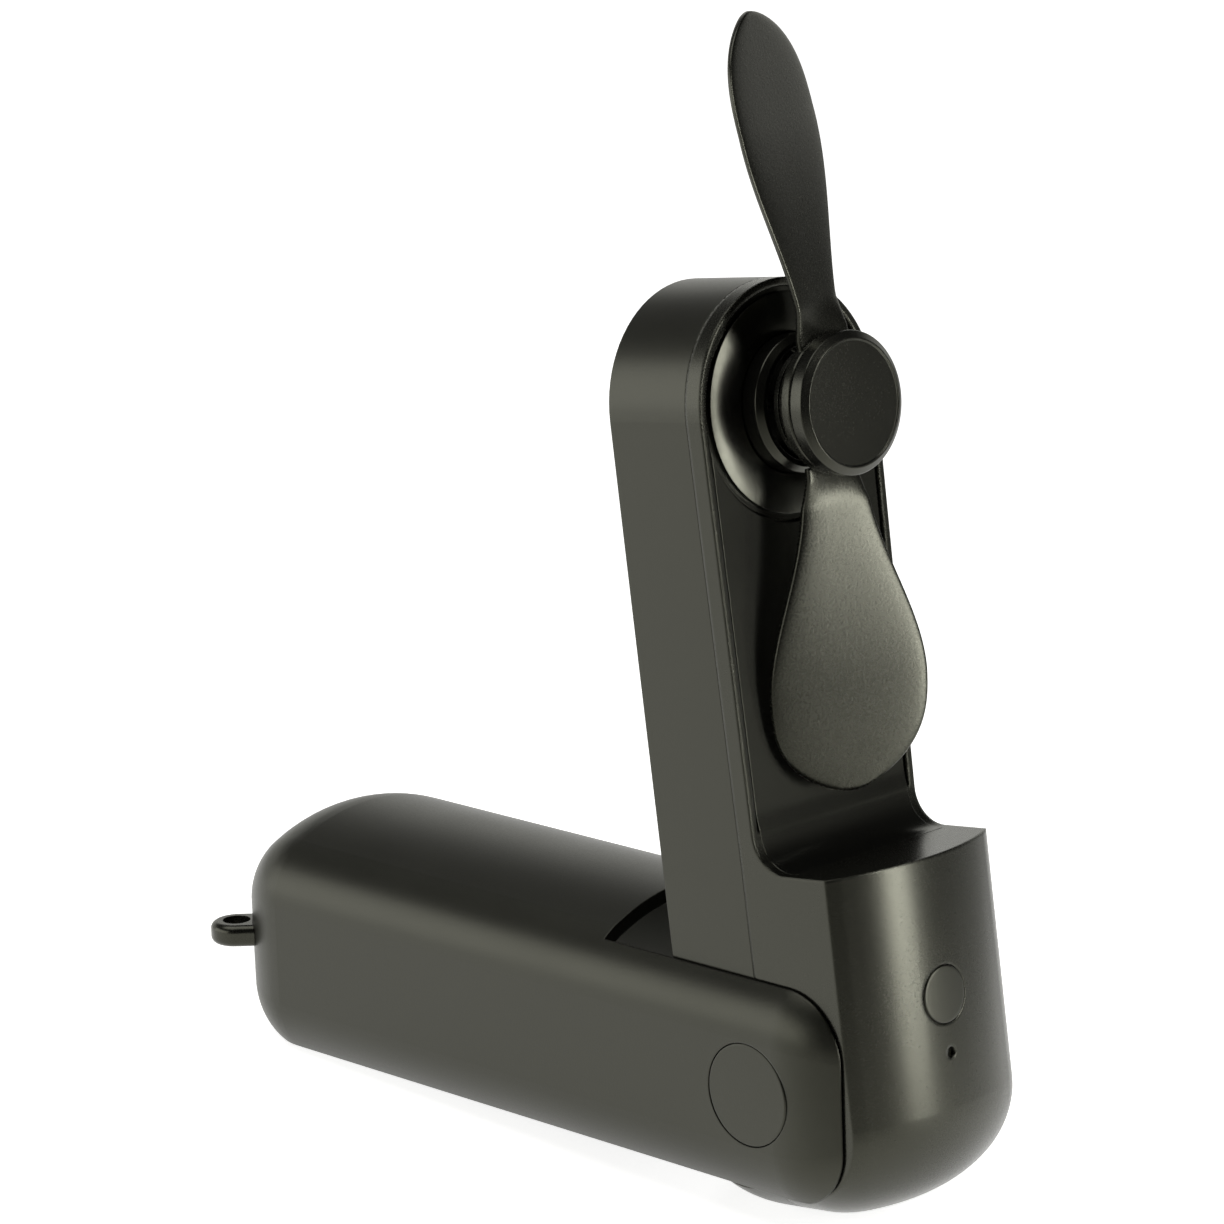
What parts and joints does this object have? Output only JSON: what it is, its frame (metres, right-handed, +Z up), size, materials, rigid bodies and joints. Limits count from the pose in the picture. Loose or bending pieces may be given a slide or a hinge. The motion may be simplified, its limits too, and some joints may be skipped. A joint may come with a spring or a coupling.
{
  "type": "desk fan",
  "caption": "Folding pocket fan in its desk pose: an upright arm with a two-blade rotor stands on its opened U-shaped cover, which folds about a pivot.",
  "frame": {"origin": "centre of the bounding box on the surface the fan stands on", "axes": "+Z up, the blades face -Y and the opened cover runs back along +Y, X runs along the fold pivot"},
  "size_m": [0.045, 0.1464, 0.1794],
  "materials": {
    "shell": "fine matte black",
    "cover": "fine matte black",
    "rotor": "satin black",
    "blade": "soft matte black",
    "ring": "semi-gloss black",
    "button": "fine matte black",
    "steel": "plain",
    "motor": "zinc plated",
    "magnet": "ferrite",
    "bronze": "sintered bronze",
    "copper": "tinned copper",
    "nylon": "natural nylon",
    "board": "solder mask green",
    "chips": "black epoxy",
    "cell": "printed-free wrap",
    "foam": "closed-cell foam",
    "guide": "clear",
    "led": "diffuse",
    "wire_red": "soft PVC",
    "wire_black": "soft PVC"
  },
  "bodies": {
    "arm": {"rear_housing": "shell", "front_housing": "shell", "face_panel": "shell", "motor_ring": "ring", "motor_boss": "ring", "motor_can": "motor", "motor_bush": "bronze", "motor_magnets": "magnet", "motor_end_cap": "nylon", "motor_terminals": "copper", "motor_screws": "steel", "light_guide": "guide", "circuit_board": "board", "board_components": "chips", "tact_switch": "chips", "status_led": "led", "battery_cell": "cell", "battery_tabs": "steel", "battery_pad": "foam", "charging_board": "board", "usb_socket": "steel", "housing_screws": "steel", "motor_lead_red": "wire_red", "motor_lead_black": "wire_black", "battery_lead": "wire_red", "hinge_bush_left": "nylon", "hinge_bush_right": "nylon", "friction_washer_left": "nylon", "friction_washer_right": "nylon"},
    "cover": {"cover_shell": "cover", "lanyard_loop": "cover", "pivot_cap_left": "cover", "pivot_cap_right": "cover", "hinge_pin_left": "steel", "hinge_pin_right": "steel", "pin_clip_left": "steel", "pin_clip_right": "steel"},
    "rotor": {"motor_shaft": "steel", "motor_armature": "copper", "rotor_hub": "rotor", "hub_cap": "rotor", "fixed_blade": "blade"},
    "swing_blade": {"folding_blade": "blade"},
    "button": {"power_button": "button"}
  },
  "joints": [
    {"name": "cover_fold", "type": "hinge", "parent": "arm", "child": "cover", "pos_m": [0, -0.05076, 0.02206], "axis": [-1, 0, 0], "range_deg": [0, 220]},
    {"name": "rotor_spin", "type": "hinge", "parent": "arm", "child": "rotor", "pos_m": [0, -0.0442, 0.12234], "axis": [0, -0.9864, 0.1643], "continuous": true},
    {"name": "blade_fold", "type": "hinge", "parent": "rotor", "child": "swing_blade", "pos_m": [0, -0.04637, 0.1227], "axis": [0, -0.9864, 0.1643], "range_deg": [-6, 174]},
    {"name": "power_button", "type": "slide", "parent": "arm", "child": "button", "axis": [0, 0.9864, -0.1643], "range_m": [0, 0.0004], "stiffness_N_per_m": 2500}
  ]
}
